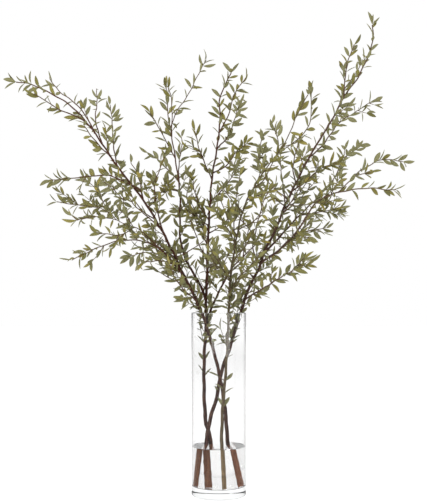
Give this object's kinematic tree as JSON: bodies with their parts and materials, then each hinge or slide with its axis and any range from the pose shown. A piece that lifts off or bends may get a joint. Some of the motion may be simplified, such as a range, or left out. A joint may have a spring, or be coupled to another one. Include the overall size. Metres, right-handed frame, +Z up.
{
  "type": "vase of branches",
  "caption": "Tall clear glass cylinder vase, part filled with water, holding cut eucalyptus branches with thin woody stems and small narrow leaves.",
  "frame": {"origin": "centre of the vase's flat bottom, which stands on the surface", "axes": "+Z up along the vase, -Y toward the viewer of the picture, +X to the viewer's right"},
  "size_m": [1.1108, 0.6779, 1.3516],
  "materials": {
    "glass": "clear, polished",
    "water": "clear water, still",
    "branch_right": "matte leaves, purple brown bark",
    "branch_middle": "matte leaves, grey brown bark",
    "branch_left": "matte leaves, dark brown bark",
    "branch_centre": "matte leaves, olive bark"
  },
  "bodies": {
    "root": {"vase_glass": "glass", "water": "water", "branch_right": "branch_right", "branch_middle": "branch_middle", "branch_left": "branch_left", "branch_centre": "branch_centre"}
  },
  "joints": []
}
